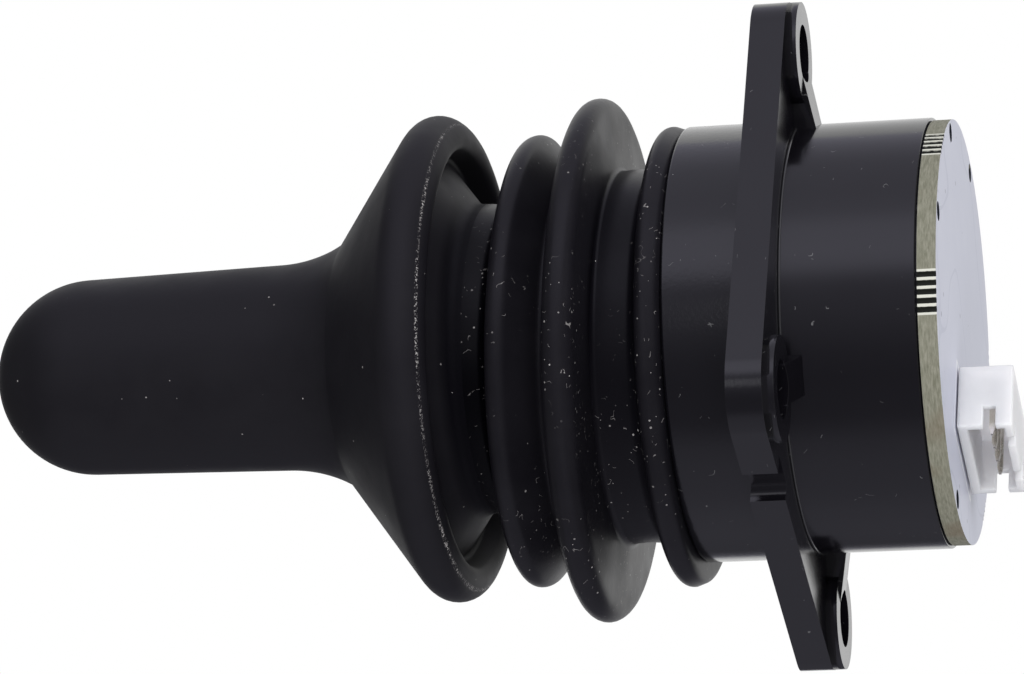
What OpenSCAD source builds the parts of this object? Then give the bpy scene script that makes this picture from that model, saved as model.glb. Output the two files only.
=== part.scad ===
// Two-axis flange-mounted joystick with a one-piece rubber grip and gaiter.
// Units are millimetres. Z runs along the stick, from the board up to the grip.
// The origin is the centre of the mounting holes on the front face of the flange.

/* [Body] */
// Diameter of the body above the flange
upper_d = 38.2; // [37.6:0.1:40]
// Height of the body above the flange
upper_h = 7; // [6.5:0.1:9]
// Diameter of the body below the flange
lower_d = 37.4; // [37:0.1:38.5]
// Depth from the front of the flange to the outer face of the board
body_depth = 16.2; // [15.6:0.1:20]
// Wall of the body below the flange
body_wall = 1.8; // [1.7:0.1:2.2]
// Height of the spigot that the boot snaps over
spigot_h = 1.2; // [0.9:0.1:1.5]
// Wall of the spigot
spigot_wall = 1; // [0.8:0.1:1.2]

/* [Flange] */
// Thickness of the flange
flange_t = 3; // [2.4:0.1:3.6]
// Pitch circle of the four mounting holes
bolt_pcd = 50; // [49:0.5:54]
// Diameter of the mounting holes
bolt_hole_d = 5; // [3.4:0.1:5.5]
// Radius of the flange's corners, round the mounting holes
corner_r = 4.5; // [4:0.1:5]
// Step from the flange's corners in to the bosses behind them
boss_step = 0.1; // [0.05:0.05:0.5]
// Height of the bosses behind the flange
boss_h = 1; // [0.6:0.1:2]
// Thickness of the webs from the bosses to the body
web_t = 3; // [2:0.1:4]
// Drop of the webs below the bosses where they meet the body
web_drop = 1; // [0.5:0.1:1.5]
// Width of the keying notch
notch_w = 4; // [3:0.1:5]
// Depth of the keying notch
notch_d = 1.8; // [1:0.1:3]
// Offset of the keying notch from the middle of its side
notch_x = 10; // [6:0.1:10.5]
// Chamfer where the flange meets the body
root_fillet = 0.5; // [0.2:0.1:0.8]

/* [Board] */
// Diameter of the sensor board
board_d = 36.9; // [36.4:0.1:37.2]
// Thickness of the sensor board
board_t = 1.6; // [1:0.1:2]
// Radius on which the locating pegs stand
peg_ring_r = 17.4; // [17.2:0.1:17.5]
// Diameter of the locating pegs
peg_d = 1.5; // [1.2:0.1:1.6]
// Gap between a peg and its hole
peg_gap = 0.08; // [0.05:0.01:0.1]
// How far a peg stops below the face of the board
peg_recess = 0.3; // [0.1:0.1:0.5]
// Diameter of each break-off perforation on the rim
tab_hole_d = 0.5; // [0.4:0.05:0.6]
// Number of perforations in a break-off tab
tab_holes = 5; // [3:1:6]
// Angle from the X axis to the middle of a tab
tab_angle = 25; // [18:1:32]

/* [Connector] */
// Pitch of the connector pins
pin_pitch = 2; // [1.8:0.05:2.1]
// Width and thickness of a square pin
pin_w = 0.5; // [0.4:0.05:0.6]
// Width of the connector housing
header_w = 10.4; // [10:0.1:11.5]
// Depth of the connector housing
header_d = 6.2; // [5.6:0.1:7]
// Height of the connector housing
header_h = 4.8; // [4.4:0.1:5.4]
// Wall of the connector housing
header_wall = 0.7; // [0.5:0.05:0.8]
// Floor of the connector housing, next to the board
header_floor = 1; // [0.8:0.05:1.1]
// Sideways place of the connector's middle
header_x = -2.05; // [-3:0.05:0]
// Place of the connector's open face
header_y = -12.1; // [-12.5:0.1:-11]

/* [Grip] */
// Height of the tip above the flange
tip_z = 71.2; // [69:0.1:78]
// Radius of the rounded tip
tip_r = 8.8; // [8.3:0.1:9.1]
// Radius of the waist above the skirt
waist_r = 9.2; // [8.9:0.1:9.5]
// Largest radius of the skirt
skirt_r = 21.6; // [20.6:0.1:22.6]
// Height of the skirt's widest ring
skirt_z = 29.4; // [28.8:0.1:30]
// Roundness of the skirt's rolled rim
rim_r = 2.2; // [2.1:0.1:2.4]
// Roundness of the bead under the rim
bead_r = 0.95; // [0.9:0.05:1]

/* [Boot] */
// Rubber wall of the bellows
boot_wall = 0.9; // [0.7:0.05:0.95]
// Radius of the lip that seals on the panel
lip_r = 20.2; // [19.8:0.1:21]
// Thickness of the lip
lip_t = 2.2; // [2:0.1:2.6]
// Radius of the large convolution
lobe_big_r = 23.05; // [22:0.05:24]
// Radius of the small convolution
lobe_small_r = 19.95; // [19.4:0.05:21]
// Radius of the neck above the lip
neck_r = 16.4; // [16.2:0.1:16.9]
// Radius of the neck under the skirt
throat_r = 13.7; // [13.4:0.1:14]
// Radius of the valley between the convolutions
valley_r = 16.9; // [16.7:0.05:17.2]

/* [Stick] */
// Diameter of the steel shaft
shaft_d = 5; // [4.6:0.1:5]
// Height of the top of the shaft
shaft_top = 56; // [52:0.5:58]
// Largest tilt about each axis, in degrees
tilt_max = 18; // [12:1:18]
// Radius of the gimbal ring
gimbal_r = 9.6; // [9.2:0.1:9.8]
// Wall of the gimbal ring
gimbal_wall = 3; // [2.6:0.1:3]
// Height of the gimbal ring
gimbal_h = 4.8; // [4.4:0.1:5]
// Diameter of the pivot pins
pivot_d = 2; // [1.8:0.1:2.2]
// Wall of the pivot bushes
bush_wall = 0.6; // [0.5:0.05:0.7]
// Running clearance of the pivot pins, on the radius
run_gap = 0.03; // [0.02:0.01:0.06]
// Mean radius of the centring spring
spring_r = 8; // [7.8:0.05:8.2]
// Wire diameter of the centring spring
spring_wire = 1.2; // [1:0.05:1.3]
// Working turns of the centring spring
spring_turns = 4; // [3:0.5:5]
// Diameter of the sensing magnet
magnet_d = 5; // [4:0.1:5.4]
// Height of the sensing magnet
magnet_h = 2.5; // [2:0.1:2.8]

/* [Hidden] */
$fn = 96;
eps = 0.01;
fit_gap = 0.3;

// Body levels and radii
upper_r = upper_d / 2;
lower_r = lower_d / 2;
board_r = board_d / 2;
shaft_r = shaft_d / 2;
pivot_r = pivot_d / 2;
board_out_z = -body_depth;
board_in_z = board_out_z + board_t;
hole_xy = bolt_pcd / 2 / sqrt(2);
flange_half = hole_xy + corner_r;
boss_r = corner_r - boss_step;
spigot_r = lip_r - 2.8;
well_r = spigot_r - spigot_wall;
chamber_r = lower_r - body_wall;
spigot_z = upper_h + spigot_h;

// Deck that carries the gimbal, and the frame on it
deck_z = -1.5;
deck_t = 2.5;
deck_hole_r = gimbal_r + 1;
carrier_r = well_r - fit_gap;
carrier_wall = 4.5;
carrier_top = upper_h - 1;
gate_t = 1.8;
gate_top = carrier_top + gate_t;
gate_half = gate_top * tan(tilt_max) + shaft_r / cos(tilt_max) + 0.35;
gate_corner_r = shaft_r + 0.3;
seat_depth = 0.5;
screw_ring_r = carrier_r - carrier_wall / 2;
screw_r = 1.1;
screw_head_r = 2;
screw_len = gate_top - deck_z + deck_t - 0.4;

// Gimbal, hub and pins
bush_r = pivot_r + run_gap + bush_wall;
ring_in_r = gimbal_r - gimbal_wall;
hub_r = ring_in_r - 1.2;
hub_h = 6;
inner_pin_in = shaft_r + 0.4;
carrier_in_r = carrier_r - carrier_wall;
hub_pin_r = 0.75;

// Spring, collar and clip
spring_in_r = spring_r - spring_wire / 2;
spring_bottom = gate_top - seat_depth;
collar_z = 21;
collar_t = 1.5;
collar_r = spring_r + spring_wire / 2 + 0.6;
collar_guide_r = spring_in_r - 2.4;
collar_guide_h = 3.5;
clip_t = 0.8;
clip_r = shaft_r + 1.6;
clip_groove = 0.4;

// Knob core inside the rubber
core_bottom = 26.4;
core_r = 5.8;
core_foot_r = 9.6;
core_foot_t = 4;
core_top = shaft_top + 3;
core_rib = 0.5;
core_ribs = 4;
boot_top = 25.4;
boot_split = 17.9;

// Magnet and its holder
shaft_end = -8;
holder_r = 3.8;
holder_top = shaft_end + 3;
holder_bottom = shaft_end - magnet_h - 0.4;

// Points of an arc about a centre, from angle a to angle b
function arc(c, r, a, b, n = 10) =
    [for (i = [0 : n]) let (t = a + (b - a) * i / n) [c[0] + r * cos(t), c[1] + r * sin(t)]];

// Direction of the outward normal of the line that touches two rounded corners.
// A corner is [radius place, height, roundness]; hollow corners have a negative roundness.
function touch(a, b) =
    let (dx = b[0] - a[0], dz = b[1] - a[1])
    atan2(dz, dx) - acos((a[2] - b[2]) / norm([dx, dz]));

// Outline through rounded corners; first and last are the directions in which its ends face
function outline(c, n = 10, first = 0, last = 0) = [
    for (i = [0 : len(c) - 1])
        let (a = i == 0 ? first : touch(c[i - 1], c[i]),
             b = i == len(c) - 1 ? last : touch(c[i], c[i + 1]),
             steps = abs(c[i][2]) < eps ? 0 : n)
        for (p = steps == 0 ? [at(c[i], i == 0 ? a : b)]
                            : [for (k = [0 : steps]) at(c[i], a + (b - a) * k / steps)]) p];

// Point on a rounded corner in direction t
function at(c, t) = [c[0] + c[2] * cos(t), c[1] + c[2] * sin(t)];

// The same corners moved inward by a wall
function inward(c, wall) = [for (p = c) [p[0], p[1], p[2] - wall]];

function backwards(p) = [for (i = [len(p) - 1 : -1 : 0]) p[i]];

// Corners of the bellows, from the lip up to the skirt
lip_top = upper_h + lip_t;
neck_bend = 0.5;
lobe_big_bend = 1.35;
lobe_small_bend = 1.1;
throat_bend = 0.9;
low_corners = [
    [neck_r, lip_top, 0],
    [neck_r + neck_bend, 13.2, -neck_bend],
    [lobe_big_r - lobe_big_bend, 15.35, lobe_big_bend],
    [valley_r + neck_bend, boot_split, -neck_bend]];
high_corners = [
    [valley_r + neck_bend, boot_split, -neck_bend],
    [lobe_small_r - lobe_small_bend, 21.1, lobe_small_bend],
    [throat_r + throat_bend, 24.1, -throat_bend],
    [throat_r, boot_top, 0]];

// Solid turned about the stick's axis
module turned(points) {
    rotate_extrude() polygon(points);
}

// Plain ring between two radii and two heights
module ring(r_out, r_in, z0, z1) {
    turned([[r_in, z0], [r_out, z0], [r_out, z1], [r_in, z1]]);
}

// Cylinder lying along X, or along Y when turned, from distance a to distance b
module spoke(r, a, b, angle = 0) {
    rotate([0, 0, angle]) translate([a, 0, 0]) rotate([0, 90, 0]) cylinder(r = r, h = b - a);
}

// Rounded square plate, built on four corner discs
module rounded_square(half, r) {
    square([2 * half, 2 * (half - r)], center = true);
    square([2 * (half - r), 2 * half], center = true);
    for (x = [-1, 1], y = [-1, 1]) translate([x * (half - r), y * (half - r)]) circle(r = r);
}

module at_corners(r) {
    for (k = [0 : 3]) rotate([0, 0, 45 + 90 * k]) translate([r, 0, 0]) children();
}

module at_pegs() {
    for (a = [0, 45, 90, 180, 270]) rotate([0, 0, a]) translate([peg_ring_r, 0, 0]) children();
}

// Body shell: collar, spigot, chamber and the deck between them, turned in one outline
module body_shell() {
    turned([
        [deck_hole_r, deck_z - deck_t], [chamber_r, deck_z - deck_t],
        [chamber_r, board_in_z], [lower_r - 0.2, board_in_z], [lower_r, board_in_z + 0.2],
        [lower_r, -flange_t - root_fillet], [lower_r + root_fillet, -flange_t],
        [upper_r + root_fillet, 0], [upper_r, root_fillet],
        [upper_r, upper_h - 0.3], [upper_r - 0.3, upper_h],
        [spigot_r, upper_h], [spigot_r, spigot_z - 0.2], [spigot_r - 0.2, spigot_z],
        [well_r, spigot_z], [well_r, deck_z], [deck_hole_r, deck_z]]);
}

// Web from a boss to the body, with its edge falling away towards the body
module boss_web() {
    reach = bolt_pcd / 2 - bolt_hole_d / 2 - 0.4;
    foot = lower_r - body_wall / 2;
    translate([0, web_t / 2, 0]) rotate([90, 0, 0]) linear_extrude(height = web_t)
        polygon([[foot, -flange_t + eps], [reach, -flange_t + eps],
            [reach, -flange_t - boss_h], [foot, -flange_t - boss_h - web_drop]]);
}

module housing() {
    color([0.13, 0.13, 0.14]) difference() {
        union() {
            body_shell();
            difference() {
                translate([0, 0, -flange_t]) linear_extrude(height = flange_t)
                    rounded_square(flange_half, corner_r);
                translate([0, 0, -flange_t - 1]) cylinder(r = upper_r - 1, h = flange_t + 2);
            }
            at_corners(bolt_pcd / 2) translate([0, 0, -flange_t - boss_h])
                cylinder(r = boss_r, h = boss_h + flange_t / 2);
            at_corners(0) boss_web();
            at_pegs() translate([0, 0, board_out_z + peg_recess])
                cylinder(r = peg_d / 2, h = board_t, $fn = 24);
        }
        at_corners(bolt_pcd / 2) translate([0, 0, -flange_t - boss_h - 1])
            cylinder(r = bolt_hole_d / 2, h = flange_t + boss_h + 2);
        translate([notch_x - notch_w / 2, -flange_half - 1, -flange_t - 1])
            cube([notch_w, notch_d + 1, flange_t + 2]);
        at_corners(screw_ring_r) translate([0, 0, gate_top - screw_len])
            cylinder(r = screw_r, h = screw_len, $fn = 24);
    }
}

// Frame ring that holds the outer pivot pins
module gimbal_carrier() {
    color([0.85, 0.84, 0.8]) difference() {
        ring(carrier_r, carrier_in_r, deck_z, carrier_top);
        for (k = [0, 1]) spoke(pivot_r, carrier_in_r - 1, carrier_r + 1, 180 * k);
        at_corners(screw_ring_r) translate([0, 0, deck_z - 1])
            cylinder(r = screw_r + 0.1, h = carrier_top - deck_z + 2, $fn = 24);
    }
}

// Plate with the square gate that stops the shaft, and the spring's seat round it
module gate_plate() {
    color([0.75, 0.76, 0.78]) difference() {
        translate([0, 0, carrier_top]) cylinder(r = carrier_r, h = gate_t);
        translate([0, 0, carrier_top - 1]) linear_extrude(height = gate_t + 2)
            rounded_square(gate_half, gate_corner_r);
        ring(spring_r + spring_wire / 2 + 0.2, spring_in_r - 0.2, spring_bottom, gate_top + 1);
        at_corners(screw_ring_r) {
            translate([0, 0, carrier_top - 1])
                cylinder(r = screw_r + 0.1, h = gate_t + 2, $fn = 24);
            translate([0, 0, gate_top - (screw_head_r - screw_r)])
                cylinder(r1 = screw_r + 0.1, r2 = screw_head_r + 0.1,
                    h = screw_head_r - screw_r + eps, $fn = 24);
        }
    }
}

// Countersunk screws through the plate and the frame into the deck
module frame_screws() {
    head_h = screw_head_r - screw_r;
    color([0.7, 0.71, 0.73]) at_corners(screw_ring_r) difference() {
        union() {
            translate([0, 0, gate_top - screw_len + 0.2])
                cylinder(r = screw_r - 0.02, h = screw_len - head_h - 0.2, $fn = 24);
            translate([0, 0, gate_top - head_h])
                cylinder(r1 = screw_r - 0.02, r2 = screw_head_r, h = head_h, $fn = 24);
        }
        for (a = [0, 90]) rotate([0, 0, a])
            translate([-1.2, -0.2, gate_top - 0.6]) cube([2.4, 0.4, 1]);
    }
}

module outer_pivot_pins() {
    color([0.75, 0.76, 0.78])
        for (k = [0, 1]) spoke(pivot_r, ring_in_r + 0.4, carrier_r - 0.4, 180 * k);
}

module gimbal_ring() {
    color([0.62, 0.6, 0.55]) difference() {
        ring(gimbal_r, ring_in_r, -gimbal_h / 2, gimbal_h / 2);
        for (k = [0, 1]) {
            spoke(bush_r, ring_in_r - 1, gimbal_r + 1, 180 * k);
            spoke(pivot_r, ring_in_r - 1, gimbal_r + 1, 90 + 180 * k);
        }
    }
}

// Plain bushes pressed into the gimbal ring for the outer pins
module ring_bushes() {
    color([0.72, 0.55, 0.3]) for (k = [0, 1]) difference() {
        spoke(bush_r, ring_in_r + 0.25, gimbal_r - 0.25, 180 * k);
        spoke(pivot_r + run_gap, ring_in_r - 1, gimbal_r + 1, 180 * k);
    }
}

module inner_pivot_pins() {
    color([0.75, 0.76, 0.78])
        for (k = [0, 1]) spoke(pivot_r, inner_pin_in, gimbal_r - 0.25, 90 + 180 * k);
}

module shaft_hub() {
    color([0.85, 0.84, 0.8]) difference() {
        ring(hub_r, shaft_r, -hub_h / 2, hub_h / 2);
        for (k = [0, 1]) spoke(bush_r, shaft_r + 0.3, hub_r + 1, 90 + 180 * k);
        spoke(hub_pin_r, -hub_r - 1, hub_r + 1);
    }
}

// Plain bushes pressed into the hub for the inner pins
module hub_bushes() {
    color([0.72, 0.55, 0.3]) for (k = [0, 1]) difference() {
        spoke(bush_r, shaft_r + 0.3, hub_r - 0.3, 90 + 180 * k);
        spoke(pivot_r + run_gap, shaft_r, hub_r + 1, 90 + 180 * k);
    }
}

module hub_pin() {
    color([0.75, 0.76, 0.78]) spoke(hub_pin_r, -hub_r + 0.3, hub_r - 0.3);
}

module shaft() {
    clip_z = collar_z + collar_t;
    color([0.78, 0.79, 0.8]) difference() {
        turned([[0, shaft_end], [shaft_r - 0.3, shaft_end], [shaft_r, shaft_end + 0.3],
            [shaft_r, clip_z], [shaft_r - clip_groove, clip_z],
            [shaft_r - clip_groove, clip_z + clip_t], [shaft_r, clip_z + clip_t],
            [shaft_r, shaft_top - 0.6], [shaft_r - 0.6, shaft_top], [0, shaft_top]]);
        spoke(hub_pin_r, -shaft_r - 1, shaft_r + 1);
    }
}

// Flanged collar on the shaft that the spring pushes against
module spring_collar() {
    color([0.85, 0.84, 0.8]) turned([
        [shaft_r, collar_z - collar_guide_h],
        [collar_guide_r - 0.5, collar_z - collar_guide_h],
        [collar_guide_r, collar_z - collar_guide_h + 0.5],
        [collar_guide_r, collar_z], [collar_r, collar_z],
        [collar_r, collar_z + collar_t], [shaft_r, collar_z + collar_t]]);
}

// Open retaining ring in the shaft's groove
module collar_clip() {
    color([0.35, 0.35, 0.38]) difference() {
        ring(clip_r, shaft_r - clip_groove, collar_z + collar_t, collar_z + collar_t + clip_t);
        translate([0, -1, collar_z]) cube([clip_r + 1, 2, 5]);
    }
}

// Height of the wire's middle along the spring: a closed turn at each end
function spring_level(t) =
    let (turns = spring_turns + 2, lo = spring_bottom + spring_wire / 2,
         hi = collar_z - spring_wire / 2, u = t * turns)
    u < 1 ? lo + 0.25 * u * spring_wire
          : u > turns - 1 ? hi - 0.25 * (turns - u) * spring_wire
          : lo + 0.25 * spring_wire
              + (hi - lo - 0.5 * spring_wire) * (u - 1) / (turns - 2);

module centring_spring() {
    sides = 8;
    steps = 24 * (spring_turns + 2);
    pts = [for (i = [0 : steps]) let (a = 360 * i / 24)
        for (k = [0 : sides - 1]) let (b = 360 * k / sides,
            r = spring_r + spring_wire / 2 * cos(b))
        [r * cos(a), r * sin(a), spring_level(i / steps) + spring_wire / 2 * sin(b)]];
    walls = [for (i = [0 : steps - 1], k = [0 : sides - 1])
        let (p = i * sides + k, q = i * sides + (k + 1) % sides)
        each [[p, p + sides, q], [q, p + sides, q + sides]]];
    ends = [[for (k = [0 : sides - 1]) k],
        [for (k = [sides - 1 : -1 : 0]) steps * sides + k]];
    color([0.7, 0.71, 0.73]) polyhedron(pts, concat(walls, ends));
}

// Outline of the hard core, ribbed so that the rubber keys to it
first_rib = core_bottom + core_foot_t + 4;
core_rib_pitch = 5.5;
core_rib_w = 2;
core_chamfer = 2;
core_outline = concat(
    [[core_foot_r, core_bottom], [core_foot_r, core_bottom + core_foot_t]],
    [for (i = [0 : core_ribs - 1])
        let (z = first_rib + i * core_rib_pitch)
        each [[core_r, z], [core_r + core_rib, z + core_rib],
            [core_r + core_rib, z + core_rib_w], [core_r, z + core_rib_w + core_rib]]],
    [[core_r, core_top - core_chamfer], [core_r - core_chamfer, core_top]]);

module knob_core() {
    color([0.3, 0.3, 0.32]) difference() {
        turned(concat([[shaft_r, core_bottom]], core_outline,
            [[0, core_top], [0, shaft_top], [shaft_r, shaft_top]]));
        translate([0, 0, core_bottom + core_foot_t / 2]) spoke(1, 0, core_foot_r + 1);
    }
}

module knob_screw() {
    color([0.35, 0.35, 0.38]) translate([0, 0, core_bottom + core_foot_t / 2])
        spoke(1, shaft_r, core_foot_r - 0.4);
}

// Outline of the rubber grip, from the throat under the skirt out to the rim and up to the tip
rim_x = skirt_r - rim_r;
bead_z = skirt_z - 1.3;
dish_bend = 1.5;
dish_depth = 0.4;
dish_x = rim_x - 1.7;
throat_step = 0.4;
flare_r = 12.9;
flare_turn = 25;
flare_c = [waist_r + flare_r, 44.8];
cone_start = [waist_r + 1.75, 38.3];
grip_draft = 1.4;

module grip() {
    skirt = outline([[throat_r + dish_bend, boot_top + throat_step, -dish_bend],
        [dish_x, skirt_z - dish_depth, -dish_depth],
        [rim_x, bead_z, bead_r],
        [rim_x, skirt_z, rim_r],
        [cone_start[0], cone_start[1], 0]], 10, 0, 40);
    waist = arc(flare_c, flare_r, 180 + flare_turn, 180 + grip_draft, 8);
    tip = arc([0, tip_z - tip_r], tip_r, grip_draft, 90, 20);
    color([0.1, 0.1, 0.11]) turned(concat(
        [[core_foot_r, core_bottom], [throat_r - boot_wall, core_bottom],
            [throat_r - boot_wall, boot_top], [throat_r, boot_top]],
        skirt, waist, tip, [[0, core_top]], backwards(core_outline)));
}

module bellows(corners) {
    color([0.1, 0.1, 0.11])
        turned(concat(outline(corners, 8), backwards(outline(inward(corners, boot_wall), 8))));
}

module upper_bellows() {
    bellows(high_corners);
}

module lower_bellows() {
    bellows(low_corners);
}

// Lip that snaps over the spigot and seals on the panel
module boot_lip() {
    inner = spigot_r + 0.05;
    color([0.1, 0.1, 0.11]) turned(concat(
        [[inner, upper_h]],
        arc([lip_r - 0.5, upper_h + 0.5], 0.5, -90, 0, 5),
        arc([lip_r - 0.9, lip_top - 0.9], 0.9, 0, 90, 8),
        [[neck_r, lip_top], [neck_r - boot_wall, lip_top],
            [neck_r - boot_wall, spigot_z + 0.05], [inner, spigot_z + 0.05]]));
}

module magnet_holder() {
    color([0.85, 0.84, 0.8]) turned([
        [magnet_d / 2, holder_bottom], [holder_r - 0.3, holder_bottom],
        [holder_r, holder_bottom + 0.3], [holder_r, holder_top - 0.8],
        [holder_r - 0.8, holder_top], [shaft_r, holder_top], [shaft_r, shaft_end],
        [magnet_d / 2, shaft_end - 0.4]]);
}

module magnet() {
    color([0.6, 0.62, 0.65]) turned([[0, holder_bottom], [magnet_d / 2 - 0.2, holder_bottom],
        [magnet_d / 2, holder_bottom + 0.2], [magnet_d / 2, holder_bottom + magnet_h],
        [0, holder_bottom + magnet_h]]);
}

// Round board with pin and peg holes and the perforated break-off tabs on its rim
module sensor_board() {
    tab_pitch = 360 / (2 * PI * board_r) * tab_hole_d * 1.5;
    color([0.72, 0.72, 0.78]) difference() {
        translate([0, 0, board_out_z]) cylinder(r = board_r, h = board_t, $fn = 180);
        at_pegs() translate([0, 0, board_out_z - 1])
            cylinder(r = peg_d / 2 + peg_gap, h = board_t + 2, $fn = 24);
        for (side = [0, 180], hand = [-1, 1], i = [0 : tab_holes - 1])
            rotate([0, 0, side + hand * tab_angle + (i - (tab_holes - 1) / 2) * tab_pitch])
                translate([board_r, 0, board_out_z - 1])
                    cylinder(r = tab_hole_d / 2, h = board_t + 2, $fn = 16);
        at_pins() translate([0, pin_tail_y, board_out_z - 1])
            cylinder(r = pin_w * 0.8, h = board_t + 2, $fn = 24);
    }
}

// Two position sensors on the inner face, below the magnet
sensor_w = 3;
sensor_l = 4;
sensor_h = 1;
sensor_x = 2.2;
lead_w = 0.4;
lead_out = 0.5;
lead_pitch = 1.2;

module hall_sensors() {
    color([0.16, 0.16, 0.17]) for (x = [-sensor_x, sensor_x]) translate([x, 0, board_in_z]) {
        translate([-sensor_w / 2, -sensor_l / 2, lead_w / 4]) cube([sensor_w, sensor_l, sensor_h]);
        for (y = [-lead_pitch, 0, lead_pitch])
            translate([-sensor_w / 2 - lead_out, y - lead_w / 2, 0])
                cube([sensor_w + 2 * lead_out, lead_w, lead_w]);
    }
}

// Capacitors and resistors on the inner face
chip_l = 2;
chip_w = 1.2;
chip_h = 0.7;
chip_spots = [[8, 5], [8, 2], [8, -1], [-8, 5], [-8, 2], [-6.5, 9], [6.5, 9], [0, 8]];

module board_components() {
    color([0.6, 0.5, 0.38]) for (p = chip_spots)
        translate([p[0] - chip_l / 2, p[1] - chip_w / 2, board_in_z]) cube([chip_l, chip_w, chip_h]);
}

// Connector geometry shared by its housing, its pins and the board
header_back = header_y + header_d;
pin_z = board_out_z - (header_floor + (header_h - header_wall - header_floor) / 2);
pin_tail_y = header_back + 0.6;

module at_pins() {
    for (i = [-1.5 : 1 : 1.5]) translate([header_x + i * pin_pitch, 0, 0]) children();
}

module connector_housing() {
    cavity_d = header_d - 1.1;
    cavity_h = header_h - header_floor - header_wall;
    slot_w = 1.1;
    left = header_x - header_w / 2;
    color([0.93, 0.92, 0.9]) difference() {
        translate([left, header_y, board_out_z - header_h]) cube([header_w, header_d, header_h]);
        translate([left + header_wall, header_y - 1, board_out_z - header_floor - cavity_h])
            cube([header_w - 2 * header_wall, cavity_d + 1, cavity_h]);
        translate([left - 1, header_y - 1, pin_z - slot_w / 2])
            cube([header_w + 2, 3, slot_w]);
        for (side = [-1, 1]) translate([header_x + side * 2.6 - 0.6, header_y - 1,
                board_out_z - header_h - 1])
            cube([1.2, 2.6, header_wall + 1 + eps]);
        at_pins() translate([-pin_w / 2, header_y, pin_z - pin_w / 2])
            cube([pin_w, header_d + 1, pin_w]);
    }
}

// Bent square pins, from the open face back and down through the board
module connector_pins() {
    tip_y = header_y + 0.7;
    color([0.8, 0.78, 0.7]) at_pins() {
        translate([-pin_w / 2, tip_y, pin_z - pin_w / 2])
            cube([pin_w, pin_tail_y + pin_w / 2 - tip_y, pin_w]);
        translate([-pin_w / 2, pin_tail_y - pin_w / 2, pin_z - pin_w / 2])
            cube([pin_w, pin_w, board_in_z + 0.8 - pin_z + pin_w / 2]);
    }
}

housing();
gimbal_carrier();
gate_plate();
frame_screws();
outer_pivot_pins();
gimbal_ring();
ring_bushes();
inner_pivot_pins();
shaft_hub();
hub_bushes();
hub_pin();
shaft();
spring_collar();
collar_clip();
centring_spring();
knob_core();
knob_screw();
grip();
upper_bellows();
lower_bellows();
boot_lip();
magnet_holder();
magnet();
sensor_board();
hall_sensors();
board_components();
connector_housing();
connector_pins();
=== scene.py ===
from math import acos, atan2, cos, degrees, hypot, pi, radians, sin

import bmesh
import bpy
from mathutils import Matrix, Vector


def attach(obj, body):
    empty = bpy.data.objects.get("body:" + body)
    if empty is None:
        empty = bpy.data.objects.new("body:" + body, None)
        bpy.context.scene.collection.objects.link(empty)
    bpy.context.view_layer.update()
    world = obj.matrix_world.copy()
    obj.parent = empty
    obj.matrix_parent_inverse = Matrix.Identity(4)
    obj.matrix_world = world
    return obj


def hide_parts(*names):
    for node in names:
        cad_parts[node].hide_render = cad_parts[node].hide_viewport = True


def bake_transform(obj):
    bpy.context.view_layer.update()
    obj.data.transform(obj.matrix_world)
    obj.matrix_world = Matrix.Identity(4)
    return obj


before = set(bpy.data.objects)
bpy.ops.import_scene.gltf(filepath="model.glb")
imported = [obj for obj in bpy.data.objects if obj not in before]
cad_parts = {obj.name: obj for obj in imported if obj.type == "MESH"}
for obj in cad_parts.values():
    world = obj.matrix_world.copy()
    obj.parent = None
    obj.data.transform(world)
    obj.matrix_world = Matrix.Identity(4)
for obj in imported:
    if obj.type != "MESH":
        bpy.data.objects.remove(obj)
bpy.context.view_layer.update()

# ---------------------------------------------------------------------------
# Sizes in millimetres, with the flange's front face at height 0
# ---------------------------------------------------------------------------
MM = 0.001
TURN_STEPS = 192

UPPER_R, UPPER_H = 19.1, 7.0
LOWER_R, BOARD_TOP, BOARD_BOTTOM = 18.7, -14.6, -16.2
FLANGE_T, CORNER_R, HOLE_XY, HOLE_R = 3.0, 4.5, 17.678, 2.5
BOSS_R, BOSS_H = 4.46, 1.0
NOTCH_X, NOTCH_W, NOTCH_D = 10.0, 4.0, 1.8
DECK_Z, DECK_T, DECK_HOLE_R = -1.5, 2.5, 10.6
CHAMBER_R, SPIGOT_R, WELL_R, SPIGOT_Z = 16.9, 17.4, 16.4, 8.2
PEG_RING, PEG_R = 17.4, 0.75

TAB_ANGLE, TAB_PITCH = 25.0, 0.75 / 18.45
HEADER_X, HEADER_Y, HEADER_W, HEADER_D, HEADER_H = -2.05, -12.1, 10.4, 6.2, 4.8
HEADER_WALL, HEADER_FLOOR, PIN_W, PIN_PITCH, PIN_Z = 0.7, 1.0, 0.46, 2.0, -19.05

THROAT_TOP = 25.4
SPLIT_Z = 17.9
LIP_TOP = 9.2

# Which way the soft boot sags off its axis, and by how much at each height
SAG_DOWN = Vector((-0.5817, -0.8134, 0.0))
SAG = [(6.5, 1.0, 0.0), (9.2, 1.0, 0.0), (12.0, 0.75, 0.012), (15.3, 1.0, 0.028),
       (18.9, 0.85, 0.034), (21.2, 0.8, 0.04), (26.0, 0.35, 0.01), (29.0, 0.22, 0.0),
       (40.0, 0.32, 0.0), (72.0, 0.37, 0.0)]


# ---------------------------------------------------------------------------
# Outlines
# ---------------------------------------------------------------------------
def arc(centre, r, start, end, steps=10):
    return [(centre[0] + r * cos(radians(start + (end - start) * i / steps)),
             centre[1] + r * sin(radians(start + (end - start) * i / steps)))
            for i in range(steps + 1)]


def touch(a, b):
    """Direction of the outward normal of the line that touches two rounded corners."""
    dx, dz = b[0] - a[0], b[1] - a[1]
    return atan2(dz, dx) - acos((a[2] - b[2]) / hypot(dx, dz))


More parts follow.
